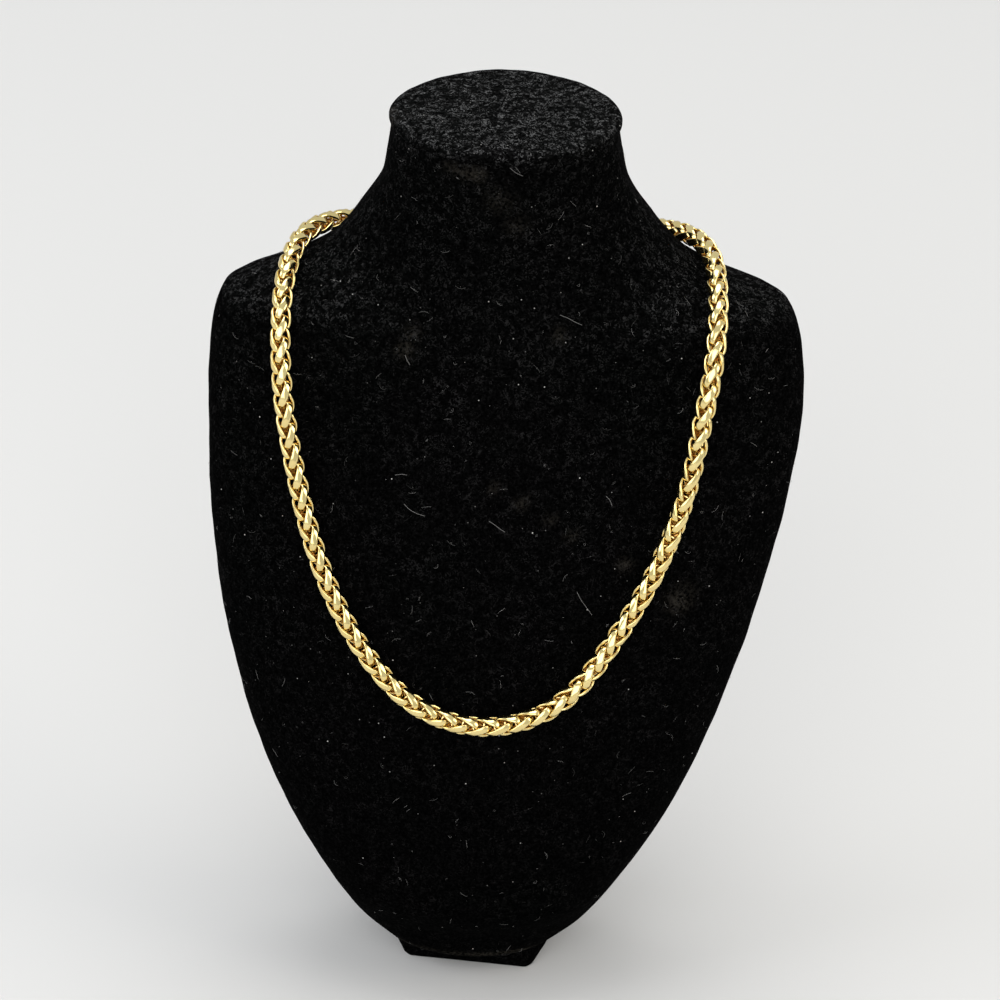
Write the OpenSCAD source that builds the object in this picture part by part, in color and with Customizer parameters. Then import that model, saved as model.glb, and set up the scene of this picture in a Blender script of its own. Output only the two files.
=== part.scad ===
// Wheat chain necklace resting on a velvet neck bust.
// Origin: middle of the foot's lower face. +X is the wearer's left, -Y is the front, +Z is up.

/* [Wheat chain] */
// Width over the woven links
chain_w = 6.9; // [6.5:0.1:7.5]
// Distance from one link to the next but one, which it hooks into
link_pitch = 7.3; // [7.1:0.05:7.6]
// Width of the flattened wire along a link's sides
wire_w = 2.4; // [2.1:0.1:2.5]
// Thickness of the flattened wire
wire_t = 1.05; // [0.9:0.05:1.15]
// Width of the wire where a link bends round at its ends
bend_w = 1.1; // [1.0:0.1:1.3]
// Thickness of the wire where a link bends round at its ends
bend_t = 0.95; // [0.8:0.05:1.05]
// Play between the ends of two links that hook into each other
link_play = 0.65; // [0.6:0.05:0.8]
// Quarter twist from one end of a link to the other
link_twist = 90; // [84:1:94]
// Space between the chain and the velvet
chain_gap = 0.35; // [0.3:0.05:0.8]

/* [Clasp and end caps] */
// Outer diameter of an end cap
cap_d = 8.2; // [8.0:0.1:8.6]
// Play between the chain and the bore of an end cap
cap_play = 0.2; // [0.15:0.05:0.3]
// Depth of the bore that takes the chain's end
cap_bore = 5.5; // [4:0.5:7]
// Thickness of an end cap's closed end
cap_floor = 1.4; // [1:0.1:2]
// Diameter through the middle of the wire of each eye
eye_d = 3.8; // [3.6:0.1:4.4]
// Diameter of the wire of each eye
eye_wire = 1.1; // [0.9:0.1:1.2]
// Play between two eyes that hook into each other
eye_play = 0.3; // [0.2:0.05:0.4]
// Length of the clasp's body between its eyes
clasp_l = 10; // [8:0.5:13]
// Width of the clasp's body
clasp_w = 4.4; // [3.6:0.1:5]
// Thickness of the clasp's body
clasp_t = 2.4; // [2:0.1:3]

/* [Bust] */
// Height of the bust and its foot
bust_h = 307; // [292:1:322]
// Width across the shoulders
bust_w = 206; // [200:1:216]
// How far the neck stands behind the foot's front edge
bust_lean = 77; // [72:1:82]
// Thickness of the body from front to back, which the depths of its sections follow
bust_d = 80; // [76:1:86]

/* [Neck cap] */
// Thickness of the padded cap on the neck
neck_cap_t = 5; // [4:0.5:7]
// How far the cap stands out past the neck
neck_cap_lip = 0.8; // [0.4:0.1:1.5]
// Radius of the cap's padded edge
neck_cap_edge = 2.5; // [1.5:0.5:3]

/* [Foot] */
// Height of the foot
foot_h = 11; // [8:0.5:13]
// Width of the foot at the floor
foot_w = 46; // [40:1:52]
// Width of the foot at its top
foot_top_w = 56; // [52:1:60]
// Depth of the foot from front to back
foot_d = 76; // [70:1:84]
// How far the foot is turned out of line with the body
foot_turn = 6; // [0:1:8]

/* [Hidden] */
gold = "goldenrod";
velvet = "#151517";

// Number of cross sections round a link and of edges in its wire
link_rings = 10;
wire_edges = 5;
// Roundness of a link's outline, where 2 is an ellipse
link_round = 2.2;
// Share of the wire's thickness that its crowned outer face rises
crown = 0.35;
// Points round a cross section of the bust, and roundness of its front and back
bust_points = 22;
front_round = 2.0;
back_round = 2.4;
// Steps of the route between two of its chosen points
route_steps = 8;
// Length over which the route's direction is measured
feel = 1.2;
// Sides of the neck cap's outline and steps of its padded edge
cap_sides = 48;
cap_edge_steps = 3;

// Sections of the velvet body from the foot up: height as a share of the body's own height, half
// width as a share of half of bust_w, set back as a share of bust_lean, front and back depth as
// shares of bust_d, and how far the section stands to one side as a share of bust_w
BUST_ROWS = [
    [0.000, 0.262, 0.050, 0.190, 0.575, -0.0160],
    [0.041, 0.404, 0.090, 0.270, 0.560, -0.0155],
    [0.098, 0.519, 0.140, 0.420, 0.540, -0.0150],
    [0.181, 0.664, 0.220, 0.485, 0.520, -0.0135],
    [0.298, 0.805, 0.340, 0.530, 0.485, -0.0115],
    [0.436, 0.914, 0.480, 0.535, 0.445, -0.0050],
    [0.574, 0.979, 0.630, 0.505, 0.420, 0.0060],
    [0.681, 1.000, 0.750, 0.455, 0.415, 0.0130],
    [0.744, 0.988, 0.810, 0.425, 0.415, 0.0105],
    [0.785, 0.949, 0.860, 0.412, 0.415, 0.0080],
    [0.808, 0.760, 0.895, 0.405, 0.415, 0.0065],
    [0.832, 0.619, 0.925, 0.400, 0.415, 0.0045],
    [0.872, 0.507, 0.965, 0.405, 0.415, 0.0020],
    [0.930, 0.405, 0.995, 0.405, 0.405, -0.0010],
    [1.000, 0.374, 1.000, 0.400, 0.400, -0.0040]
];

// Chosen points of the chain's route, from the back of the neck round by the wearer's right:
// angle round the section (90 back, 180 right shoulder, 270 front), height as a share of the
// body's height, turn of the weave towards the inside of the loop, extra space under the chain
ROUTE = [
    [90.0, 0.8129, 116, 1.6],
    [106.5, 0.8122, 106, 5.1],
    [122.3, 0.8113, 88, 3.5],
    [141.6, 0.8190, 65, 0.9],
    [160.4, 0.8235, 45, 0.9],
    [174.0, 0.8215, 31, 1.5],
    [185.9, 0.8179, 24, 2.1],
    [205.4, 0.8033, 22, 2.3],
    [221.5, 0.7749, 22, 3.0],
    [224.7, 0.7107, 22, 5.2],
    [227.2, 0.6269, 24, 0.1],
    [232.2, 0.5456, 29, 0.5],
    [239.4, 0.4674, 35, 0.8],
    [248.5, 0.4049, 40, 0.1],
    [256.7, 0.3735, 44, 1.0],
    [267.1, 0.3577, 50, 1.4],
    [279.0, 0.3634, 62, 1.3],
    [289.8, 0.3969, 80, 0.4],
    [295.6, 0.4528, 101, 0.3],
    [303.0, 0.5242, 122, 0.6],
    [308.0, 0.6211, 146, 0.2],
    [309.2, 0.7000, 166, 2.7],
    [312.1, 0.7500, 176, 3.9],
    [319.2, 0.7920, 179, 1.2],
    [338.5, 0.8120, 180, 2.0],
    [354.3, 0.8209, 182, 1.8],
    [366.0, 0.8240, 190, 1.4],
    [380.9, 0.8248, 203, 0.7],
    [400.4, 0.8192, 223, 1.0],
    [418.5, 0.8111, 246, 3.8],
    [433.6, 0.8129, 264, 6.5],
    [450.0, 0.8129, 276, 1.6]
];

// Small vector helpers
function unit(v) = v / norm(v);
function signed_pow(v, e) = sign(v) * pow(abs(v), e);
function flat_to(v, axis) = unit(v - (v * axis) * axis);

// Smooth curve through a column of the bust's table, with no overshoot between two rows
function slope(i, col) = let(r = BUST_ROWS) (r[i + 1][col] - r[i][col]) / (r[i + 1][0] - r[i][0]);
function even_slope(a, b) = a * b <= 0 ? 0 : 2 * a * b / (a + b);
function tangent_at(i, col) =
    i == 0 ? slope(0, col)
    : i == len(BUST_ROWS) - 1 ? slope(i - 1, col)
    : even_slope(slope(i - 1, col), slope(i, col));
function row_below(h) = min(len(BUST_ROWS) - 2, max(0, len([for (r = BUST_ROWS) if (r[0] < h) 1]) - 1));
function bust_value(h, col) =
    let(i = row_below(h), a = BUST_ROWS[i], b = BUST_ROWS[i + 1], step = b[0] - a[0],
        t = (h - a[0]) / step)
    a[col] * (2 * t * t * t - 3 * t * t + 1) + tangent_at(i, col) * step * (t * t * t - 2 * t * t + t)
    + b[col] * (3 * t * t - 2 * t * t * t) + tangent_at(i + 1, col) * step * (t * t * t - t * t);

// Height of the velvet body between the foot and the neck cap
body_h = bust_h - foot_h - neck_cap_t;

// Point of the body's surface at an angle round the section and a share of its height
function bust_point(angle, h) =
    let(back = sin(angle) > 0, e = 2 / (back ? back_round : front_round),
        depth = bust_d * bust_value(h, back ? 4 : 3))
    [bust_w * (bust_value(h, 1) / 2 * signed_pow(cos(angle), e) + bust_value(h, 5)),
     bust_lean * bust_value(h, 2) + depth * signed_pow(sin(angle), e) - foot_d / 2,
     foot_h + body_h * h];

// Direction that faces away from the bust there
function bust_out(angle, h) =
    unit(cross(bust_point(angle + 0.5, h) - bust_point(angle - 0.5, h),
               bust_point(angle, h + 0.001) - bust_point(angle, h - 0.001)));

// The route: chosen points on the velvet, lifted by half the chain and its gap
lift = chain_w / 2 + chain_gap;
route_out = [for (r = ROUTE) bust_out(r[0], r[1])];
route_knots = [for (i = [0:len(ROUTE) - 1])
    bust_point(ROUTE[i][0], ROUTE[i][1]) + (lift + ROUTE[i][3]) * route_out[i]];
route_roll = [for (r = ROUTE) r[2]];
last_knot = len(ROUTE) - 1;
// A knot's neighbour, which wraps round at the back of the neck where the loop closes
function knot(list, i) = i < 0 ? list[last_knot + i] : i > last_knot ? list[i - last_knot] : list[i];
// Smooth curve that four knots in a row pull on, without passing through them
function blend(a, b, c, d, t) =
    (pow(1 - t, 3) * a + (3 * t * t * t - 6 * t * t + 4) * b
     + (-3 * t * t * t + 3 * t * t + 3 * t + 1) * c + t * t * t * d) / 6;
function along(list, i, t) = blend(knot(list, i - 1), knot(list, i), knot(list, i + 1), knot(list, i + 2), t);
route_path = [for (i = [0:last_knot - 1]) for (k = [0:route_steps - 1])
    along(route_knots, i, k / route_steps), along(route_knots, last_knot - 1, 1)];
route_faces = [for (i = [0:last_knot - 1]) for (k = [0:route_steps - 1])
    along(route_out, i, k / route_steps), along(route_out, last_knot - 1, 1)];
route_turns = [for (i = [0:last_knot - 1]) for (k = [0:route_steps - 1])
    route_roll[i] + (route_roll[i + 1] - route_roll[i]) * k / route_steps, route_roll[last_knot]];

// Distance along the route at each of its steps
function run_up(i, sum, list) =
    i == len(list) ? [] : let(d = i == 0 ? 0 : sum + norm(list[i] - list[i - 1]))
    concat([d], run_up(i + 1, d, list));
route_run = run_up(0, 0, route_path);
route_length = route_run[len(route_run) - 1];
function keyed(list, axis) = [for (i = [0:len(list) - 1]) [route_run[i], list[i][axis]]];
path_x = keyed(route_path, 0);
path_y = keyed(route_path, 1);
path_z = keyed(route_path, 2);
face_x = keyed(route_faces, 0);
face_y = keyed(route_faces, 1);
face_z = keyed(route_faces, 2);
turn_at = [for (i = [0:len(route_turns) - 1]) [route_run[i], route_turns[i]]];
function place(s) = [lookup(s, path_x), lookup(s, path_y), lookup(s, path_z)];
function heading(s) = unit(place(s + feel) - place(s - feel));
function facing(s) = flat_to([lookup(s, face_x), lookup(s, face_y), lookup(s, face_z)], heading(s));

// Places along the route, measured from the back of the neck: the clasp, eyes and end caps
clasp_eye_at = clasp_l / 2 + eye_d / 2 - eye_wire / 2;
cap_eye_at = clasp_eye_at + eye_d - eye_wire - eye_play;
cap_at = cap_eye_at + eye_d / 2 - eye_wire / 4;
chain_start = cap_at + cap_floor + cap_play;

// Links: half their length and width at the middle of the wire, and their number and spacing
link_half = link_pitch / 4 + bend_t / 2 + link_play + link_pitch / 4;
link_side = (chain_w - wire_t) / 2 + 0.15;
first_link = chain_start + link_half + bend_t / 2;
link_count = floor((route_length - 2 * first_link) / (link_pitch / 2)) + 1;
link_step = (route_length - 2 * first_link) / (link_count - 1);
middle_link = floor(link_count / 2);

// Centre of the wire at an angle t round a link, in the link's own frame (z along the chain).
// Even links twist one way with their sides at 0 and 180, odd links the other way at 90 and 270.
function link_turn(z, odd) = (odd ? 90 : 0) + (odd ? -1 : 1) * link_twist / 2 * z / link_half;
function link_line(t, odd) =
    let(z = link_half * signed_pow(cos(t), 2 / link_round),
        s = link_side * signed_pow(sin(t), 2 / link_round), a = link_turn(z, odd))
    [s * cos(a), s * sin(a), z];

// Outward normal of the link's outline there, before it is squared to the wire's direction
function link_out(t, odd) =
    let(z = signed_pow(cos(t), 2 / link_round), s = signed_pow(sin(t), 2 / link_round),
        out = signed_pow(s, link_round - 1) / link_side, up = signed_pow(z, link_round - 1) / link_half,
        a = link_turn(z * link_half, odd))
    [out * cos(a), out * sin(a), up];

// Cross section of the wire: flat inside, crowned outside, narrower round the ends
function wire_section(t) =
    let(k = pow(sin(t), 2), w = bend_w + (wire_w - bend_w) * k, d = bend_t + (wire_t - bend_t) * k,
        shoulder = (0.5 - crown) * d)
    [[-w / 2, -d / 2], [w / 2, -d / 2], [w / 2, shoulder], [0, d / 2], [-w / 2, shoulder]];
function wire_ring(t, odd) =
    let(c = link_line(t, odd), dir = unit(link_line(t + 0.01, odd) - link_line(t - 0.01, odd)),
        out = flat_to(link_out(t, odd), dir), side = cross(dir, out))
    [for (p = wire_section(t)) c + p[0] * side + p[1] * out];

even_link = [for (i = [0:link_rings - 1]) each wire_ring(360 * i / link_rings, false)];
odd_link = [for (i = [0:link_rings - 1]) each wire_ring(360 * i / link_rings, true)];
link_faces = [for (i = [0:link_rings - 1]) for (k = [0:wire_edges - 1])
    let(a = i * wire_edges + k, b = i * wire_edges + (k + 1) % wire_edges,
        c = ((i + 1) % link_rings) * wire_edges + (k + 1) % wire_edges,
        d = ((i + 1) % link_rings) * wire_edges + k)
    each [[a, c, b], [a, d, c]]];

// One link at its place on the route
module wheat_link(i) {
    s = first_link + i * link_step;
    ahead = heading(s);
    out = facing(s);
    roll = lookup(s, turn_at);
    x_dir = cos(roll) * out + sin(roll) * cross(out, ahead);
    y_dir = cross(ahead, x_dir);
    polyhedron(
        points = [for (p = i % 2 == 0 ? even_link : odd_link)
            place(s) + p[0] * x_dir + p[1] * y_dir + p[2] * ahead],
        faces = link_faces, convexity = 4);
}

module chain_left() {
    color(gold)
        for (i = [0:middle_link - 1]) wheat_link(i);
}

module chain_right() {
    color(gold)
        for (i = [middle_link:link_count - 1]) wheat_link(i);
}

// A ring of round wire that lies across the Z axis
module eye_ring() {
    rotate_extrude($fn = 48)
        translate([eye_d / 2, 0]) circle(d = eye_wire, $fn = 24);
}

// Cup that takes the chain's end, with an eye on its closed end; the chain enters along +Z
module end_cap() {
    difference() {
        cylinder(d = cap_d, h = cap_floor + cap_bore, $fn = 48);
        translate([0, 0, cap_floor]) cylinder(d = chain_w + 2 * cap_play + 0.2, h = cap_bore + 1, $fn = 48);
    }
    translate([0, 0, cap_eye_at - cap_at]) rotate([90, 0, 0]) eye_ring();
}

// Stands a piece on the route at s, with its +Z along the chain, turned in plan only
module on_route(s, way) {
    dir = way * heading(s);
    translate(place(s)) rotate([0, 0, atan2(dir[1], dir[0])]) rotate([0, 90, 0]) children();
}

module end_cap_left() {
    color(gold) on_route(cap_at, 1) rotate([0, 0, 90]) end_cap();
}

module end_cap_right() {
    color(gold) on_route(route_length - cap_at, -1) rotate([0, 0, 90]) end_cap();
}

// Plain clasp: a flat body with round ends and an eye at each end
module clasp() {
    color(gold)
        translate(place(0)) {
            rotate([90, 0, 0])
                translate([0, 0, -clasp_t / 2])
                    linear_extrude(clasp_t)
                        union() {
                            square([clasp_l - clasp_w, clasp_w], center = true);
                            for (side = [-1, 1])
                                translate([side * (clasp_l - clasp_w) / 2, 0]) circle(d = clasp_w, $fn = 48);
                        }
            for (side = [-1, 1])
                translate([side * clasp_eye_at, 0, 0]) rotate([90, 0, 0]) eye_ring();
        }
}

// The velvet body: cross sections from the foot to the neck, closed by flat ends
function level_ring(h) = [for (k = [0:bust_points - 1]) bust_point(360 * k / bust_points, h)];
// One section at each row of the table and one halfway to the next
row_count = len(BUST_ROWS);
body_levels = [for (i = [0:row_count - 2])
    each [BUST_ROWS[i][0], (BUST_ROWS[i][0] + BUST_ROWS[i + 1][0]) / 2], 1];
level_count = len(body_levels);
body_points = [for (h = body_levels) each level_ring(h)];
body_faces = [
    for (j = [0:level_count - 2]) for (k = [0:bust_points - 1])
        let(a = j * bust_points + k, b = j * bust_points + (k + 1) % bust_points,
            c = b + bust_points, d = a + bust_points)
        each [[a, c, b], [a, d, c]],
    [for (k = [0:bust_points - 1]) k],
    [for (k = [0:bust_points - 1]) level_count * bust_points - 1 - k]
];

module bust_body() {
    color(velvet) polyhedron(points = body_points, faces = body_faces, convexity = 4);
}

// Outline of the neck's top, made larger or smaller by a distance
neck_x = bust_w / 2 * bust_value(1, 1);
neck_y = bust_d * bust_value(1, 3);
function neck_outline(grow) = [for (k = [0:cap_sides - 1])
    [(neck_x + grow) * cos(360 * k / cap_sides), (neck_y + grow) * sin(360 * k / cap_sides)]];

module neck_cap() {
    step = neck_cap_edge / cap_edge_steps;
    color(velvet)
        translate([bust_w * bust_value(1, 5), bust_lean * bust_value(1, 2) - foot_d / 2, foot_h + body_h])
            for (i = [0:cap_edge_steps])
                linear_extrude(neck_cap_t - neck_cap_edge + i * step)
                    polygon(neck_outline(neck_cap_lip - neck_cap_edge
                        + sqrt(pow(neck_cap_edge, 2) - pow(max(0, i - 0.5) * step, 2))));
}

// The foot: a block whose sides slope in to the floor, turned a little under the body
module foot() {
    color(velvet)
        rotate([0, 0, -foot_turn])
            translate([0, foot_d / 2, 0])
                rotate([90, 0, 0])
                    linear_extrude(foot_d)
                        polygon([[-foot_w / 2, 0], [foot_w / 2, 0],
                                 [foot_top_w / 2, foot_h], [-foot_top_w / 2, foot_h]]);
}

chain_left();
chain_right();
end_cap_left();
end_cap_right();
clasp();
bust_body();
neck_cap();
foot();
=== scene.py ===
import logging
import math
from dataclasses import dataclass, field
from enum import Enum, IntEnum

import bpy
import numpy as np
from mathutils import Matrix, Vector


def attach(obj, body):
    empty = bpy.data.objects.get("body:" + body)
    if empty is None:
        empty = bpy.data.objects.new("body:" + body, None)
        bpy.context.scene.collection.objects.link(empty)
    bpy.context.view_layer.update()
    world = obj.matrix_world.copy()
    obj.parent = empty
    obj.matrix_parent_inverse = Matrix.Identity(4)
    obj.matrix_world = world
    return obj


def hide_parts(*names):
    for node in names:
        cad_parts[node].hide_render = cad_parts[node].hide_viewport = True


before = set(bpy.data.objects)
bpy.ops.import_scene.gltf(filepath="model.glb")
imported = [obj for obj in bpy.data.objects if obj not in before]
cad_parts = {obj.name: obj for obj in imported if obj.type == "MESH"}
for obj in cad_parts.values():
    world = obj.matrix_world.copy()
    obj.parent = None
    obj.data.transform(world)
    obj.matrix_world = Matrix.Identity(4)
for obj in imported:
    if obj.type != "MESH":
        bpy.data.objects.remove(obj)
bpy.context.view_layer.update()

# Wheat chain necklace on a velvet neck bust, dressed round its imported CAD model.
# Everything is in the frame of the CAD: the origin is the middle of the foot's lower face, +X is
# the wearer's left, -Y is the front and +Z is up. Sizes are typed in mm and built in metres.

MM = 0.001
BODY = "root"
LOG = logging.getLogger("necklace")
Tree = bpy.types.NodeTree
Socket = bpy.types.NodeSocket
Material = bpy.types.Material
Piece = bpy.types.Object
Mesh = bpy.types.Mesh
Array = np.ndarray

# Sections of the velvet body from the foot up: height as a share of the body's own height, half
# width as a share of half the bust's width, set back as a share of the lean, front and back depth
# as shares of the bust's depth, and how far the section stands to one side as a share of the width.
# The half widths and the last column are fitted to points read on the photographed outline
BUST_ROWS = (
    (0.000, 0.262, 0.050, 0.190, 0.575, -0.0160),
    (0.041, 0.404, 0.090, 0.270, 0.560, -0.0155),
    (0.098, 0.519, 0.140, 0.420, 0.540, -0.0150),
    (0.181, 0.664, 0.220, 0.485, 0.520, -0.0135),
    (0.298, 0.805, 0.340, 0.530, 0.485, -0.0115),
    (0.436, 0.914, 0.480, 0.535, 0.445, -0.0050),
    (0.574, 0.979, 0.630, 0.505, 0.420, 0.0060),
    (0.681, 1.000, 0.750, 0.455, 0.415, 0.0130),
    (0.744, 0.988, 0.810, 0.425, 0.415, 0.0105),
    (0.785, 0.949, 0.860, 0.412, 0.415, 0.0080),
    (0.808, 0.760, 0.895, 0.405, 0.415, 0.0065),
    (0.832, 0.619, 0.925, 0.400, 0.415, 0.0045),
    (0.872, 0.507, 0.965, 0.405, 0.415, 0.0020),
    (0.930, 0.405, 0.995, 0.405, 0.405, -0.0010),
    (1.000, 0.374, 1.000, 0.400, 0.400, -0.0040),
)

# Knots of the chain's route, all but the turns fitted to points read along the photographed
# chain, from the back of the neck round by the wearer's right: angle round the section (90 back,
# 180 right shoulder, 270 front), height as a share of the body's own height, turn of the weave in
# degrees, extra space under the chain
ROUTE = (
    (90.0, 0.8129, 116, 1.6), (106.5, 0.8122, 106, 5.1), (122.3, 0.8113, 88, 3.5),
    (141.6, 0.8190, 65, 0.9), (160.4, 0.8235, 45, 0.9), (174.0, 0.8215, 31, 1.5),
    (185.9, 0.8179, 24, 2.1), (205.4, 0.8033, 22, 2.3), (221.5, 0.7749, 22, 3.0),
    (224.7, 0.7107, 22, 5.2), (227.2, 0.6269, 24, 0.1), (232.2, 0.5456, 29, 0.5),
    (239.4, 0.4674, 35, 0.8), (248.5, 0.4049, 40, 0.1), (256.7, 0.3735, 44, 1.0),
    (267.1, 0.3577, 50, 1.4), (279.0, 0.3634, 62, 1.3), (289.8, 0.3969, 80, 0.4),
    (295.6, 0.4528, 101, 0.3), (303.0, 0.5242, 122, 0.6), (308.0, 0.6211, 146, 0.2),
    (309.2, 0.7000, 166, 2.7), (312.1, 0.7500, 176, 3.9), (319.2, 0.7920, 179, 1.2),
    (338.5, 0.8120, 180, 2.0), (354.3, 0.8209, 182, 1.8), (366.0, 0.8240, 190, 1.4),
    (380.9, 0.8248, 203, 0.7), (400.4, 0.8192, 223, 1.0), (418.5, 0.8111, 246, 3.8),
    (433.6, 0.8129, 264, 6.5), (450.0, 0.8129, 276, 1.6),
)


class Half(Enum):
    """The two halves of the chain, each the name of its CAD node."""

    LEFT = "chain_left"
    RIGHT = "chain_right"


class Column(IntEnum):
    """The columns of BUST_ROWS."""

    LEVEL = 0
    HALF_WIDTH = 1
    SET_BACK = 2
    FRONT = 3
    BACK = 4
    ASIDE = 5


class Draw(IntEnum):
    """Seeds that keep the lint's random draws apart."""

    FIBRE_TURN = 1
    FIBRE_SIZE = 2
    FIBRE_TONE = 3
    SPECK_SIZE = 4
    SPECK_TONE = 5


class Slot(Enum):
    """The record's material slots."""

    CHAIN = "wheat_gold"
    CLASP = "clasp_gold"
    BODY = "body_velvet"
    CAP = "cap_velvet"
    FOOT = "foot_velvet"


def linear(code: str) -> tuple[float, float, float, float]:
    """Turns an sRGB hex colour into a linear RGBA colour.

    Args:
        code: the colour as "#RRGGBB".

    Returns:
        The linear red, green, blue and an alpha of 1.
    """
    parts = [int(code[i:i + 2], 16) / 255 for i in (1, 3, 5)]
    rgb = [p / 12.92 if p <= 0.04045 else ((p + 0.055) / 1.055) ** 2.4 for p in parts]
    return rgb[0], rgb[1], rgb[2], 1.0


def add_node(
    tree: Tree, kind: str, inputs: dict | None = None, **settings: object
) -> bpy.types.Node:
    """Adds a node with its settings, values and links.

    Args:
        tree: the tree that gets the node.
        kind: the node's type name.
        inputs: values, sockets or lists of sockets by input name or number.
        settings: the node's own properties.

    Returns:
        The new node.
    """
    node = tree.nodes.new(kind)
    for name, value in settings.items():
        setattr(node, name, value)
    for key, value in (inputs or {}).items():
        sources = value if isinstance(value, list) else [value]
        for source in sources:
            if isinstance(source, Socket):
                tree.links.new(source, node.inputs[key])
            else:
                node.inputs[key].default_value = source
    return node


def calc(tree: Tree, operation: str, *values: object) -> Socket:
    """Adds a Math node.

    Args:
        tree: the tree that gets the node.
        operation: the sum it does.
        values: its numbers or sockets in order.

    Returns:
        The socket with the result.
    """
    return add_node(tree, "ShaderNodeMath", dict(enumerate(values)), operation=operation).outputs[0]


def vector_calc(tree: Tree, operation: str, *values: object) -> Socket:
    """Adds a Vector Math node whose result is a vector.

    Args:
        tree: the tree that gets the node.
        operation: the sum it does.
        values: its vectors or sockets in order, or a single factor for SCALE.

    Returns:
        The socket with the result.
    """
    keys: list[int | str] = [0, "Scale"] if operation == "SCALE" else [0, 1, 2]
    given = dict(zip(keys, values))
    return add_node(tree, "ShaderNodeVectorMath", given, operation=operation).outputs[0]


def chance(tree: Tree, low: object, high: object, seed: object, **others: object) -> Socket:
    """Adds a Random Value node.

    Args:
        tree: the tree that gets the node.
        low: the least value, a number or a tuple of three.
        high: the greatest value, of the same kind.
        seed: the number or socket that fixes the draw.
        others: further inputs by name.

    Returns:
        The socket with the value.
    """
    first, result, kind = (0, 0, "FLOAT_VECTOR") if isinstance(low, tuple) else (2, 1, "FLOAT")
    return add_node(tree, "FunctionNodeRandomValue", {
        first: low, first + 1: high, **others, "Seed": seed}, data_type=kind).outputs[result]


def toned(tree: Tree, shape: Socket, seed: object, **others: object) -> Socket:
    """Gives each instance a random tone from 0 to 1.

    Args:
        tree: the tree that gets the nodes.
        shape: the socket with the instances.
        seed: the number or socket that fixes the draw.
        others: further inputs of the draw by name.

    Returns:
        The socket with the toned instances.
    """
    tone = chance(tree, 0.0, 1.0, seed, **others)
    return add_node(tree, "GeometryNodeStoreNamedAttribute", {
        "Geometry": shape, "Name": "tone", "Value": tone},
        data_type="FLOAT", domain="INSTANCE").outputs[0]


def start_material(name: str) -> tuple[Material, Tree]:
    """Starts an empty material.

    Args:
        name: the material's name.

    Returns:
        The material and its tree.
    """
    material = bpy.data.materials.new(name)
    material.use_nodes = True
    material.node_tree.nodes.clear()
    return material, material.node_tree


def end_material(tree: Tree, inputs: dict[str, object]) -> None:
    """Ends a material in a Principled shader.

    Args:
        tree: the material's tree.
        inputs: the shader's values and sockets by name.
    """
    shader = add_node(tree, "ShaderNodeBsdfPrincipled", inputs)
    add_node(tree, "ShaderNodeOutputMaterial", {"Surface": shader.outputs[0]})


def carried(tree: Tree, name: str) -> Socket:
    """Reads the number that a mesh carries on its points under a name."""
    return add_node(tree, "ShaderNodeAttribute", attribute_name=name).outputs["Fac"]


def grain(tree: Tree, place: Socket, span: float, detail: float, **others: float) -> Socket:
    """Adds a noise.

    Args:
        tree: the tree that gets the node.
        place: the socket with the place on the piece.
        span: how wide its grains are in mm.
        detail: how many finer layers it has.
        others: further inputs by name.

    Returns:
        The socket with the noise, from 0 to 1.
    """
    return add_node(tree, "ShaderNodeTexNoise", {
        "Vector": place, "Scale": 1 / (span * MM), "Detail": detail, **others}).outputs["Fac"]


def blend(tree: Tree, share: object, start: object, stop: object) -> Socket:
    """Blends two colours.

    Args:
        tree: the tree that gets the node.
        share: the number or socket that says how much of the second there is.
        start: the first colour, a hex code or a socket.
        stop: the second colour, a hex code or a socket.

    Returns:
        The socket with the colour.
    """
    first, second = (linear(c) if isinstance(c, str) else c for c in (start, stop))
    return add_node(tree, "ShaderNodeMix", {"Factor": share, 6: first, 7: second},
                    data_type="RGBA").outputs[2]


def relief(tree: Tree, height: Socket, strength: float, depth: float) -> Socket:
    """Adds fine relief.

    Args:
        tree: the tree that gets the node.
        height: the socket with the height, from 0 to 1.
        strength: how much of the relief shows.
        depth: how deep it is in mm.

    Returns:
        The socket with the direction that the surface faces.
    """
    return add_node(tree, "ShaderNodeBump", {
        "Strength": strength, "Distance": depth * MM, "Height": height}).outputs["Normal"]


def start_tree(name: str, sizes: dict[str, str]) -> tuple[Tree, bpy.types.Node]:
    """Starts a Geometry Nodes tree with named inputs.

    Args:
        name: the tree's name.
        sizes: the inputs after the geometry, from name to socket type.

    Returns:
        The tree and its input node.
    """
    tree = bpy.data.node_groups.new(name, "GeometryNodeTree")
    for way in ("INPUT", "OUTPUT"):
        tree.interface.new_socket("Geometry", in_out=way, socket_type="NodeSocketGeometry")
    for label, kind in sizes.items():
        tree.interface.new_socket(label, in_out="INPUT", socket_type=kind)
    return tree, tree.nodes.new("NodeGroupInput")


def end_tree(tree: Tree, shape: Socket, finish: object) -> None:
    """Ends a tree in Realize Instances, smooth shading and Set Material.

    Args:
        tree: the tree to end.
        shape: the socket with its geometry.
        finish: the socket that holds the material.
    """
    real = add_node(tree, "GeometryNodeRealizeInstances", {"Geometry": shape})
    smooth = add_node(tree, "GeometryNodeSetShadeSmooth", {"Geometry": real.outputs[0]})
    dressed = add_node(
        tree, "GeometryNodeSetMaterial", {"Geometry": smooth.outputs[0], "Material": finish})
    add_node(tree, "NodeGroupOutput", {0: dressed.outputs[0]})


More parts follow.
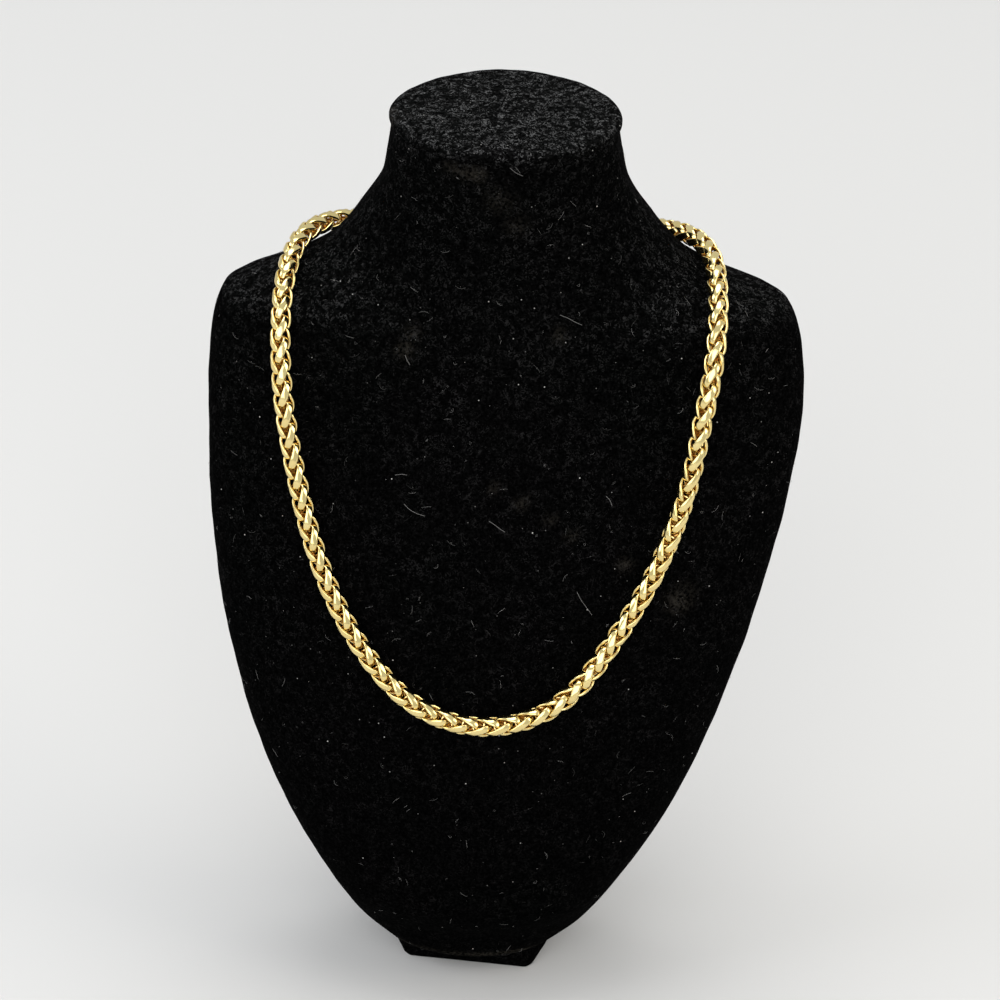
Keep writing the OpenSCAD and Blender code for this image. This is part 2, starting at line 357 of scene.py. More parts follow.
def grow(name: str, base: Mesh, tree: Tree, sizes: dict[str, object]) -> Piece:
    """Runs a Geometry Nodes tree on a mesh and keeps the result as a plain mesh.

    Args:
        name: the new piece's name.
        base: the mesh that the tree starts from.
        tree: the tree to run.
        sizes: the tree's inputs by name.

    Returns:
        The new object, with no modifier left on it.
    """
    piece = bpy.data.objects.new(name, base)
    bpy.context.scene.collection.objects.link(piece)
    modifier = piece.modifiers.new(tree.name, "NODES")
    modifier.node_group = tree
    for item in tree.interface.items_tree:
        if item.item_type == "SOCKET" and item.in_out == "INPUT" and item.name in sizes:
            modifier[item.identifier] = sizes[item.name]
    graph = bpy.context.evaluated_depsgraph_get()
    made = bpy.data.meshes.new_from_object(
        piece.evaluated_get(graph), preserve_all_data_layers=True, depsgraph=graph)
    piece.modifiers.remove(modifier)
    piece.data = made
    made.name = name
    return piece


def plain_mesh(name: str, points: Array, faces: list[tuple[int, ...]]) -> Mesh:
    """Makes a smooth mesh from points in mm.

    Args:
        name: the mesh's name.
        points: one row of x, y and z for each point.
        faces: the point numbers of each face.

    Returns:
        The mesh, in metres.
    """
    mesh = bpy.data.meshes.new(name)
    mesh.from_pydata((points * MM).tolist(), [], faces)
    mesh.polygons.foreach_set("use_smooth", [True] * len(mesh.polygons))
    mesh.update()
    return mesh


def mark(mesh: Mesh, name: str, values: Array) -> None:
    """Stores a number or vector on every point of a mesh.

    Args:
        mesh: the mesh that gets the attribute.
        name: the attribute's name.
        values: one number or one row of three for each point.
    """
    if values.ndim == 1:
        mesh.attributes.new(name, "FLOAT", "POINT").data.foreach_set("value", values)
    else:
        layer = mesh.attributes.new(name, "FLOAT_VECTOR", "POINT")
        layer.data.foreach_set("vector", values.ravel())


def level_ring(flat: Array, rise: float) -> Array:
    """Lays a ring of points, one row of x and y each, at one height."""
    return np.column_stack([flat, np.full(len(flat), rise)])


def powered(value: Array, power: float | Array) -> Array:
    """Raises the size of a value to a power and keeps its sign."""
    return np.sign(value) * np.abs(value) ** power


def ring_faces(rings: int, points: int, closed: bool = False) -> list[tuple[int, ...]]:
    """Lists the faces between rings of points that follow each other.

    Args:
        rings: how many rings there are.
        points: how many points each ring has.
        closed: whether the last ring joins the first.

    Returns:
        The faces, each of four point numbers.
    """
    faces = []
    for ring in range(rings if closed else rings - 1):
        low, high = ring * points, (ring + 1) % rings * points
        for k in range(points):
            after = (k + 1) % points
            faces.append((low + k, low + after, high + after, high + k))
    return faces


def closed_faces(rings: int, points: int) -> list[tuple[int, ...]]:
    """Lists the faces of stacked rings with a centre point at either end.

    Args:
        rings: how many rings there are.
        points: how many points each ring has.

    Returns:
        The faces, where the lower centre comes after the last ring and the upper one after it.
    """
    faces = ring_faces(rings, points)
    low, top = rings * points, (rings - 1) * points
    for k in range(points):
        after = (k + 1) % points
        faces.append((low, after, k))
        faces.append((low + 1, top + k, top + after))
    return faces


def ripple(points: Array, span: float, seed: float) -> Array:
    """Gives a gentle unevenness that runs smoothly over a surface.

    Args:
        points: the places in mm, one row each.
        span: the length of its waves in mm.
        seed: a number that shifts the waves.

    Returns:
        One number from about -1 to 1 for each place.
    """
    # The factors differ, so the pattern hardly repeats
    q = points * (2 * math.pi / span)
    x, y, z = q[..., 0], q[..., 1], q[..., 2]
    broad = np.sin(x + 1.7 * seed + np.sin(0.7 * z + seed)) * np.sin(z + 0.6 * y + 2.3 * seed)
    fine = np.sin(1.9 * x - 1.3 * z + seed) * np.sin(1.6 * y + 2.1 * z - seed)
    return 0.65 * broad + 0.35 * fine


def hand_over(piece: Piece, slot: Slot, *nodes: str) -> None:
    """Lets a finished piece ride on the body, hides the CAD nodes it stands for and logs its slot.

    Args:
        piece: the finished object.
        slot: the material slot it takes its finish from.
        nodes: the CAD nodes it replaces.
    """
    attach(piece, BODY)
    if nodes:
        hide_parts(*nodes)
    LOG.info("%s: %d faces, slot %s", piece.name, len(piece.data.polygons), slot.value)


def show(mesh: Mesh, finish: Material, slot: Slot, *nodes: str) -> Piece:
    """Makes a piece of a mesh, under the mesh's name, and hands it over.

    Args:
        mesh: the finished mesh.
        finish: its material.
        slot: the material slot it takes its finish from.
        nodes: the CAD nodes it replaces.

    Returns:
        The new piece.
    """
    mesh.materials.append(finish)
    piece = bpy.data.objects.new(mesh.name, mesh)
    bpy.context.scene.collection.objects.link(piece)
    hand_over(piece, slot, *nodes)
    return piece


@dataclass(frozen=True)
class PlatedGold:
    """Brass with a bright gold plate, drawn, twisted and polished, so its faces mirror the room."""

    name: str = "polished_gold_plate"
    face: str = "#F5E09D"
    # deep is painted shade and painted reflection: the wire's inner faces, where the links shade and
    # mirror each other, are painted darker and oranger
    deep: str = "#BE8232"
    smudge: str = "#E6CC84"
    inner_shade_share: float = 0.85
    roughness: float = 0.15
    haze: float = 0.10
    smudge_mm: float = 1.6
    burnish_mm: float = 0.5
    burnish_depth_mm: float = 0.012

    def build(self) -> Material:
        """Makes the material: pale gold faces, painted shade on the inner faces of the links, fine
        burnishing.
        """
        material, tree = start_material(self.name)
        place = add_node(tree, "ShaderNodeTexCoord").outputs["Object"]
        inner, tone = carried(tree, "inner"), carried(tree, "tone")
        smudge = grain(tree, place, self.smudge_mm, detail=3.0)
        handled = blend(tree, calc(tree, "MULTIPLY", smudge, tone), self.face, self.smudge)
        # Painted shade on the wire's inner faces
        colour = blend(tree, calc(tree, "MULTIPLY", inner, self.inner_shade_share), handled, self.deep)
        rough = calc(tree, "MULTIPLY_ADD", calc(tree, "ADD", smudge, inner), self.haze,
                     self.roughness - self.haze / 2)
        burnish = grain(tree, place, self.burnish_mm, detail=2.0)
        end_material(tree, {
            "Base Color": colour, "Metallic": 1.0, "Roughness": rough,
            "Normal": relief(tree, burnish, strength=0.5, depth=self.burnish_depth_mm)})
        return material


@dataclass(frozen=True)
class PileVelvet:
    """Black velvet: a short cut pile that swallows light, dusted with curled lint where it faces up,
    with painted light from above there too.

    The pile and the curls are drawn coarser than the real ones, about 0.2 mm wide and not a few
    hundredths, so that they show.
    """

    name: str = "black_pile_velvet"
    deep: str = "#010101"
    lit: str = "#060606"
    curl: str = "#151414"
    # Ground and curls where dust settles and painted light from above falls
    dusty_and_top_lit: str = "#0E0E0E"
    dusty_and_top_lit_curl: str = "#575757"
    rubbed: str = "#45413A"
    lint: str = "#B5B2AE"
    pile_mm: float = 1.0
    curl_mm: float = 1.5
    curl_bend: float = 2.4
    break_mm: float = 2.6
    mottle_mm: float = 13.0
    lint_mm: float = 2.2
    lint_share: float = 0.06
    pile_depth_mm: float = 0.3
    # For each effect, the value of its noise at which it starts and the one at which it is full
    pile_lit: tuple[float, float] = (0.4, 0.66)
    pile_shaded: tuple[float, float] = (0.62, 0.36)
    curl_inside: tuple[float, float] = (0.53, 0.62)
    curl_outside: tuple[float, float] = (0.78, 0.66)
    curl_kept: tuple[float, float] = (0.42, 0.62)
    curl_settled_and_lit: tuple[float, float] = (0.3, 0.75)
    rub_patch: tuple[float, float] = (0.3, 0.62)
    rub_pile: tuple[float, float] = (0.38, 0.68)
    speck_edge: tuple[float, float] = (0.13, 0.06)

    def build(self) -> Material:
        """Makes the material: dark pile, curled fibres in it, dust and painted light from above
        where it faces up, rubbed places and bright specks.
        """
        material, tree = start_material(self.name)
        place = add_node(tree, "ShaderNodeTexCoord").outputs["Object"]
        worn, dust = carried(tree, "rubbed"), carried(tree, "dust")

        def ramp(value: object, limits: tuple[float, float]) -> Socket:
            """Stretches a value so that the first limit becomes 0 and the second becomes 1."""
            return add_node(
                tree, "ShaderNodeMapRange", {0: value, 1: limits[0], 2: limits[1]}).outputs[0]

        def noise(span: float, detail: float, bend: float = 0.0) -> Socket:
            """Adds a noise whose grains are span mm wide and bent by bend."""
            return grain(tree, place, span, detail, Roughness=0.6, Distortion=bend)

        def both(one: object, other: object) -> Socket:
            """Multiplies two values."""
            return calc(tree, "MULTIPLY", one, other)

        pile = noise(self.pile_mm, detail=3.0)
        mottle = noise(self.mottle_mm, detail=5.0)
        ground = blend(tree, ramp(pile, self.pile_lit), self.deep, self.lit)
        # Paler where the velvet faces up: partly settled dust, partly painted light from above
        ground = blend(tree, dust, ground, self.dusty_and_top_lit)
        ground = blend(tree, ramp(pile, self.pile_shaded), ground, self.deep)
        curls = noise(self.curl_mm, detail=1.0, bend=self.curl_bend)
        thin = both(ramp(curls, self.curl_inside), ramp(curls, self.curl_outside))
        broken = both(thin, ramp(noise(self.break_mm, detail=2.0), self.curl_kept))
        # The curls show more and turn paler with settled dust and painted light from above
        share = both(broken, ramp(calc(tree, "ADD", mottle, dust), self.curl_settled_and_lit))
        colour = blend(tree, share, ground, blend(tree, dust, self.curl, self.dusty_and_top_lit_curl))
        rub = both(both(worn, ramp(mottle, self.rub_patch)), ramp(pile, self.rub_pile))
        colour = blend(tree, rub, colour, self.rubbed)
        cells = add_node(tree, "ShaderNodeTexVoronoi", {
            "Vector": place, "Scale": 1 / (self.lint_mm * MM), "Randomness": 1.0})
        cell = add_node(tree, "ShaderNodeSeparateColor", {0: cells.outputs["Color"]})
        chosen = calc(tree, "LESS_THAN", cell.outputs[0], self.lint_share)
        speck = both(ramp(cells.outputs["Distance"], self.speck_edge),
                     both(chosen, cell.outputs[1]))
        end_material(tree, {
            "Base Color": blend(tree, speck, colour, self.lint), "Roughness": 0.95, "IOR": 1.45,
            "Specular IOR Level": 0.004, "Sheen Weight": 0.002, "Sheen Roughness": 0.35,
            "Normal": relief(tree, pile, strength=0.7, depth=self.pile_depth_mm)})
        return material


@dataclass(frozen=True)
class CottonLint:
    """Loose cotton lint and dust: dull, pale grey and without shine."""

    name: str = "cotton_lint"
    pale: str = "#8A8886"
    dull: str = "#2E2D2C"

    def build(self) -> Material:
        """Makes the material: dull grey that differs from fibre to fibre."""
        material, tree = start_material(self.name)
        colour = blend(tree, carried(tree, "tone"), self.dull, self.pale)
        end_material(tree, {"Base Color": colour, "Roughness": 0.9, "Specular IOR Level": 0.2})
        return material


@dataclass(frozen=True)
class PaleFloor:
    """Plain matt studio floor, like pale painted board."""

    name: str = "pale_studio_floor"
    tone: str = "#C9C8C6"

    def build(self) -> Material:
        """Makes the material: one pale matt tone."""
        material, tree = start_material(self.name)
        end_material(tree, {"Base Color": linear(self.tone), "Roughness": 0.8})
        return material


@dataclass(frozen=True)
class BustForm:
    """The surface of the velvet body, given by smooth curves through its sections. Sizes in mm."""

    height: float = 307.0
    width: float = 206.0
    lean: float = 77.0
    depth: float = 80.0
    cap_thickness: float = 5.0
    foot_height: float = 11.0
    foot_depth: float = 76.0
    front_round: float = 2.0
    back_round: float = 2.4
    # The back of the neck's outline: its power on the wearer's right and left, where less than 2 is
    # pointed, and how far it is drawn in
    neck_back_rounds: tuple[float, float] = (1.72, 1.86)
    neck_back_inset: float = 1.6
    # How far apart the places lie that give the direction of the surface: degrees and level
    feel_angle: float = 0.5
    feel_level: float = 0.001

    @property
    def body_height(self) -> float:
        """Height of the body between the foot and the neck cap."""
        return self.height - self.foot_height - self.cap_thickness

    def value(self, level: Array, column: Column) -> Array:
        """Follows one column of the table without overshooting between two rows.

        Args:
            level: heights as shares of the body's height.
            column: the column to follow.

        Returns:
            The column's value at each height.
        """
        rows = np.array(BUST_ROWS)
        x, y = rows[:, Column.LEVEL], rows[:, column]
        rise = np.diff(y) / np.diff(x)
        below, above = rise[:-1], rise[1:]
        both = np.where(below * above <= 0, 1.0, below + above)
        middle = np.where(below * above <= 0, 0.0, 2 * below * above / both)
        slopes = np.concatenate([rise[:1], middle, rise[-1:]])
        level = np.asarray(level, float)
        i = np.clip(np.searchsorted(x, level, side="left") - 1, 0, len(x) - 2)
        step = x[i + 1] - x[i]
        t = (level - x[i]) / step
        start = y[i] * (2 * t ** 3 - 3 * t ** 2 + 1) + slopes[i] * step * (t ** 3 - 2 * t ** 2 + t)
        stop = y[i + 1] * (3 * t ** 2 - 2 * t ** 3) + slopes[i + 1] * step * (t ** 3 - t ** 2)
        return start + stop

    def point(self, angle: Array, level: Array) -> Array:
        """Finds places on the surface.

        Args:
            angle: degrees round the section, 90 at the back and 270 at the front.
            level: heights as shares of the body's height.

        Returns:
            One x, y, z in mm for each place.
        """
        turn = np.radians(np.asarray(angle, float))
        side, front = np.cos(turn), np.sin(turn)
        back = front > 0
        power = 2 / np.where(back, self.back_round, self.front_round)
        reach = self.depth * np.where(
            back, self.value(level, Column.BACK), self.value(level, Column.FRONT))
        across = self.value(level, Column.HALF_WIDTH) / 2 * powered(side, power)
        x = self.width * (across + self.value(level, Column.ASIDE))
        y = self.lean * self.value(level, Column.SET_BACK) + reach * powered(front, power)
        z = self.foot_height + self.body_height * np.asarray(level, float) + 0 * x
        return np.stack([x, y - self.foot_depth / 2, z], -1)

    def neck(self, angle: Array, grow_by: float) -> Array:
        """Lays the outline of the neck's top, a little pointed at the back.

        Args:
            angle: degrees round the outline.
            grow_by: how far outside the neck it runs.

        Returns:
            One x and y in mm for each angle, from the middle of the neck.
        """
        turn = np.radians(angle)
        side, front = np.cos(turn), np.sin(turn)
        power = 2 / np.where(front < 0, self.front_round,
                             np.where(side < 0, *self.neck_back_rounds))
        reach = self.depth * float(self.value(1.0, Column.FRONT)) + grow_by
        reach = reach - self.neck_back_inset * np.clip(front, 0, 1)
        half = self.width / 2 * float(self.value(1.0, Column.HALF_WIDTH)) + grow_by
        return np.stack([half * powered(side, power), reach * powered(front, power)], -1)

    def neck_middle(self) -> Array:
        """Gives the middle of the neck's top."""
        return np.array([self.width * float(self.value(1.0, Column.ASIDE)),
                         self.lean * float(self.value(1.0, Column.SET_BACK)) - self.foot_depth / 2,
                         self.height - self.cap_thickness])

    def front(self, x: float, z: float) -> Array:
        """Finds the place on the front that lies behind an x and z.

        Args:
            x: how far to the wearer's left.
            z: how far above the floor.

        Returns:
            The place in mm.
        """
        level = max(0.0, min(1.0, (z - self.foot_height) / self.body_height))
        aside, half = (float(self.value(level, c)) for c in (Column.ASIDE, Column.HALF_WIDTH))
        share = (x / self.width - aside) / half * 2
        angle = 360 - math.degrees(math.acos(max(-1.0, min(1.0, share))))
        return self.point(np.array(angle), np.array(level))

    def outward(self, angle: Array, level: Array) -> Array:
        """Finds the direction that faces away from the surface.

        Args:
            angle: degrees round the section.
            level: heights as shares of the body's height.

        Returns:
            One unit vector for each place.
        """
        angle, level = np.asarray(angle, float), np.asarray(level, float)
        step, rise = self.feel_angle, self.feel_level
        round_it = self.point(angle + step, level) - self.point(angle - step, level)
        up_it = self.point(angle, level + rise) - self.point(angle, level - rise)
        normal = np.cross(round_it, up_it)
        return normal / np.linalg.norm(normal, axis=-1, keepdims=True)


@dataclass(frozen=True)
class PhotoView:
    """Where the photograph was taken from, fitted to points read on it. Sizes in mm."""

    target: tuple[float, float, float] = (1.85, 2.0, 173.6)
    distance: float = 1500.0
    elevation: float = 33.0
    roll: float = 2.05
    pixels_per_mm: float = 2.882
    image_width: float = 1000.0
    rounds: int = 12

    def axes(self) -> tuple[Array, Array, Array]:
        """Gives the directions across, up and back towards the camera."""
        e, r = math.radians(self.elevation), math.radians(self.roll)
        back = np.array([0.0, -math.cos(e), math.sin(e)])
        right, up = np.array([1.0, 0.0, 0.0]), np.array([0.0, math.sin(e), math.cos(e)])
        across = right * math.cos(r) + up * math.sin(r)
        return across, up * math.cos(r) - right * math.sin(r), back

    def place(self, form: BustForm, u: float, v: float) -> Array:
        """Finds the place on the bust's front that the photograph shows at a pixel.

        Args:
            form: the bust's surface.
            u: pixels from the left.
            v: pixels from the top.

        Returns:
            The place in mm.
        """
        across, upward, back = self.axes()
        eye = np.array(self.target) + self.distance * back
        middle, scale = self.image_width / 2, self.distance * self.pixels_per_mm
        ray = (u - middle) / scale * across - (v - middle) / scale * upward - back
        found = np.zeros(3)
        for _ in range(self.rounds):
            seen = eye + (found[1] - eye[1]) / ray[1] * ray
            found = form.front(float(seen[0]), float(seen[2]))
        return found


@dataclass(frozen=True)
class ChainRoute:
    """The closed line that the chain's middle follows over the bust. Sizes in mm."""

    form: BustForm = field(default_factory=BustForm)
    chain_width: float = 6.9
    gap: float = 0.35
    steps: int = 8
    # Shares of the line up to which the first phase holds and from which the second one does
    phase_shares: tuple[float, float] = (0.52, 0.68)

    def _follow(self, knots: Array) -> Array:
        """Runs a smooth closed curve that knots pull on without being passed through.

        Args:
            knots: one row for each knot, where the last meets the first.

        Returns:
            One row for each step of the curve.
        """
        last = len(knots) - 1
        i = np.arange(last)

        def near(offset: int) -> Array:
            """Gives each knot's neighbour, wrapped round where the loop closes."""
            k = i + offset
            return knots[np.where(k < 0, k + last, np.where(k > last, k - last, k))][:, None, :]

        def pull(t: Array) -> Array:
            """Blends four knots in a row, as a uniform cubic B-spline does, at the share t."""
            return ((1 - t) ** 3 * near(-1) + (3 * t ** 3 - 6 * t ** 2 + 4) * near(0)
                    + (-3 * t ** 3 + 3 * t ** 2 + 3 * t + 1) * near(1) + t ** 3 * near(2)) / 6

        way = pull((np.arange(self.steps) / self.steps)[None, :, None]).reshape(-1, 3)
        return np.vstack([way, pull(np.ones((1, 1, 1)))[-1]])

    def line(self) -> tuple[Array, Array, Array]:
        """Lays the route.

        Returns:
            The places, the directions that face away from the bust and the turns of the weave.
        """
        table = np.array(ROUTE, float)
        out = self.form.outward(table[:, 0], table[:, 1])
        lift = (self.chain_width / 2 + self.gap + table[:, 3])[:, None]
        knots = self.form.point(table[:, 0], table[:, 1]) + lift * out
        share = np.arange((len(table) - 1) * self.steps + 1) / self.steps
        turns = np.interp(share, np.arange(len(table)), table[:, 2])
        return self._follow(knots), self._follow(out), turns

    def length(self) -> float:
        """Gives the length of the closed line."""
        way = self.line()[0]
        return float(np.linalg.norm(np.diff(way, axis=0), axis=1).sum())

    def mesh(self, phase: tuple[float, float]) -> Mesh:
        """Makes the line as a mesh of edges that carries facing and turn on its points.

        Args:
            phase: degrees that the weave is turned further on the line's first and second half.

        Returns:
            The mesh, in metres.
        """
        way, out, turns = self.line()
        mesh = bpy.data.meshes.new("chain_route")
        mesh.from_pydata((way * MM).tolist(), [(k, k + 1) for k in range(len(way) - 1)], [])
        mark(mesh, "facing", out)
        further = np.interp(np.linspace(0, 1, len(turns)), self.phase_shares, phase)
        mark(mesh, "turn", np.radians(turns + further))
        return mesh


@dataclass(frozen=True)
class WheatLink:
    """One twisted oval link of flattened wire. Sizes in mm."""

    half: float = 4.775
    side: float = 3.075
    twist: float = 90.0
    roundness: float = 2.5
    wire_w: float = 2.6
    wire_t: float = 1.1
    bend_w: float = 1.6
    bend_t: float = 1.0
    rings: int = 28
    section: tuple[tuple[float, float], ...] = (
        (-0.36, -0.50), (0.36, -0.50), (0.49, -0.38), (0.50, 0.18), (0.45, 0.34), (0.24, 0.43),
        (0.00, 0.46), (-0.24, 0.43), (-0.45, 0.34), (-0.50, 0.18), (-0.49, -0.38))
    # Height in the section below which the inner face starts, where the gold gets painted shade and
    # more roughness, and how quickly it comes in
    inner_start: float = -0.36
    inner_slope: float = 7.0
    # How far round the wire the places before and after lie that give its direction, in radians
    feel: float = 0.0002

    def _outline(self, t: Array) -> tuple[Array, Array]:
        """Gives the rounded outline's shares along and across the link at the angles t."""
        return powered(np.cos(t), 2 / self.roundness), powered(np.sin(t), 2 / self.roundness)

    def _turn(self, along: Array, odd: bool) -> Array:
        """Gives the twist in radians at a share along the link."""
        hand = -1 if odd else 1
        return np.radians((90 if odd else 0) + hand * self.twist / 2 * along)

    def _middle(self, t: Array, odd: bool) -> Array:
        """Gives the middle of the wire at the angles t."""
        along, across = self._outline(t)
        a = self._turn(along, odd)
        s = self.side * across
        return np.stack([s * np.cos(a), s * np.sin(a), self.half * along], -1)

    def mesh(self, odd: bool) -> Mesh:
        """Makes the link in its own frame, with Z along the chain.

        Args:
            odd: whether it is the link that twists the other way, a quarter turn on.

        Returns:
            The mesh, whose points carry how far they lie on the wire's inner face.
        """
        t = 2 * math.pi * (np.arange(self.rings) + 0.5) / self.rings
        middle = self._middle(t, odd)
        ahead = self._middle(t + self.feel, odd) - self._middle(t - self.feel, odd)
        ahead /= np.linalg.norm(ahead, axis=1, keepdims=True)
        along, across = self._outline(t)
        a = self._turn(along, odd)
        out = powered(across, self.roundness - 1) / self.side
        up = powered(along, self.roundness - 1) / self.half
        away = np.stack([out * np.cos(a), out * np.sin(a), up], -1)
        away -= (away * ahead).sum(1, keepdims=True) * ahead
        away /= np.linalg.norm(away, axis=1, keepdims=True)
        beside = np.cross(ahead, away)
        swell = np.sin(t) ** 2
        wide = (self.bend_w + (self.wire_w - self.bend_w) * swell)[:, None, None]
        thick = (self.bend_t + (self.wire_t - self.bend_t) * swell)[:, None, None]
        shape = np.array(self.section)
        points = (middle[:, None] + wide * shape[None, :, :1] * beside[:, None]
                  + thick * shape[None, :, 1:] * away[:, None])
        faces = ring_faces(self.rings, len(shape), closed=True)
        mesh = plain_mesh("link", points.reshape(-1, 3), [face[::-1] for face in faces])
        # How far each point lies on the inner face: the gold's painted shade and extra roughness
        # follow it
        inner = np.clip(self.inner_slope * (self.inner_start - shape[:, 1]), 0, 1)
        mark(mesh, "inner", np.tile(inner, self.rings))
        return mesh


@dataclass
class WheatChain:
    """The woven chain: links at half their pitch, each through the two before it. Sizes in mm."""

    route: ChainRoute = field(default_factory=ChainRoute)
    link: WheatLink = field(default_factory=WheatLink)
    first_link: float = 17.225
    pitch: float = 7.3
    feel: float = 1.2
    phase: tuple[float, float] = (13.0, 25.0)
    seed: int = 7

    def _tree(self) -> Tree:
        """Builds the tree that sets links along the route."""
        tree, given = start_tree("wheat_chain", {
            "Even link": "NodeSocketObject", "Odd link": "NodeSocketObject",
            "Count": "NodeSocketInt", "First number": "NodeSocketInt",
            "First place": "NodeSocketFloat", "Step": "NodeSocketFloat",
            "Feel": "NodeSocketFloat", "Seed": "NodeSocketInt", "Finish": "NodeSocketMaterial"})
        size = given.outputs
        curve = add_node(tree, "GeometryNodeMeshToCurve", {"Mesh": size["Geometry"]}).outputs[0]
        index = add_node(tree, "GeometryNodeInputIndex").outputs[0]
        number = calc(tree, "ADD", index, size["First number"])
        at = calc(tree, "MULTIPLY_ADD", number, size["Step"], size["First place"])

        def sample(where: object, kind: str, name: str) -> bpy.types.Node:
            """Reads the route and one of its attributes at a length along it."""
            value = add_node(tree, "GeometryNodeInputNamedAttribute", {"Name": name}, data_type=kind)
            return add_node(tree, "GeometryNodeSampleCurve", {
                "Curves": curve, 1: value.outputs[0], "Length": where},
                mode="LENGTH", data_type=kind)

        here = sample(at, "FLOAT_VECTOR", "facing")
        turn = sample(at, "FLOAT", "turn").outputs["Value"]
        after = sample(calc(tree, "ADD", at, size["Feel"]), "FLOAT_VECTOR", "facing")
        before = sample(calc(tree, "SUBTRACT", at, size["Feel"]), "FLOAT_VECTOR", "facing")
        run = vector_calc(tree, "SUBTRACT", after.outputs["Position"], before.outputs["Position"])
        ahead = vector_calc(tree, "NORMALIZE", run)
        facing = here.outputs["Value"]
        along = add_node(tree, "ShaderNodeVectorMath", {0: facing, 1: ahead},
                         operation="DOT_PRODUCT").outputs["Value"]
        flat = vector_calc(tree, "SUBTRACT", facing, vector_calc(tree, "SCALE", ahead, along))
        out = vector_calc(tree, "NORMALIZE", flat)
        beside = vector_calc(tree, "CROSS_PRODUCT", out, ahead)
        x_dir = vector_calc(
            tree, "ADD", vector_calc(tree, "SCALE", out, calc(tree, "COSINE", turn)),
            vector_calc(tree, "SCALE", beside, calc(tree, "SINE", turn)))
        rotation = add_node(tree, "FunctionNodeAxesToRotation", {
            "Primary Axis": ahead, "Secondary Axis": x_dir},
            primary_axis="Z", secondary_axis="X").outputs[0]
        points = add_node(tree, "GeometryNodePoints", {
            "Count": size["Count"], "Position": here.outputs["Position"]}).outputs[0]
        odd = calc(tree, "FLOORED_MODULO", number, 2.0)
        halves = []
        for label, chosen in (("Even link", calc(tree, "LESS_THAN", odd, 0.5)),
                              ("Odd link", calc(tree, "GREATER_THAN", odd, 0.5))):
            shape = add_node(tree, "GeometryNodeObjectInfo", {"Object": size[label]})
            halves.append(add_node(tree, "GeometryNodeInstanceOnPoints", {
                "Points": points, "Selection": chosen, "Instance": shape.outputs["Geometry"],
                "Rotation": rotation}).outputs[0])
        joined = add_node(tree, "GeometryNodeJoinGeometry", {0: halves}).outputs[0]
        end_tree(tree, toned(tree, joined, size["Seed"], ID=index), size["Finish"])
        return tree

    def build(self, gold: Material) -> None:
        """Makes both halves of the chain.

        Args:
            gold: the finish of the links.
        """
        tree = self._tree()
        length = self.route.length()
        free = length - 2 * self.first_link
        count = int(free / (self.pitch / 2)) + 1
        step = free / (count - 1)
        shapes = {}
        for label, odd in (("Even link", False), ("Odd link", True)):
            shapes[label] = bpy.data.objects.new(label, self.link.mesh(odd))
        middle = count // 2
        for half, first, number in ((Half.LEFT, 0, middle), (Half.RIGHT, middle, count - middle)):
            piece = grow(half.value + "_links", self.route.mesh(self.phase), tree, {
                **shapes, "Count": number, "First number": first,
                "First place": self.first_link * MM, "Step": step * MM, "Feel": self.feel * MM,
                "Seed": self.seed, "Finish": gold})
            hand_over(piece, Slot.CHAIN, half.value)
        for shape in shapes.values():
            bpy.data.objects.remove(shape)
        LOG.info("chain: %d links on a loop of %.0f mm", count, length)


@dataclass
class ChainEnds:
    """The end caps and the clasp behind the neck, which keep their CAD shapes."""

    nodes: tuple[str, ...] = ("end_cap_left", "end_cap_right", "clasp")

    def build(self, gold: Material) -> None:
        """Gives the carried-over nodes their finish.

        Args:
            gold: the finish of the clasp and the end caps.
        """
        for name in self.nodes:
            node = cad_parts[name]
            node.data.materials.clear()
            node.data.materials.append(gold)
            LOG.info("%s: CAD shape kept, slot %s", name, Slot.CLASP.value)


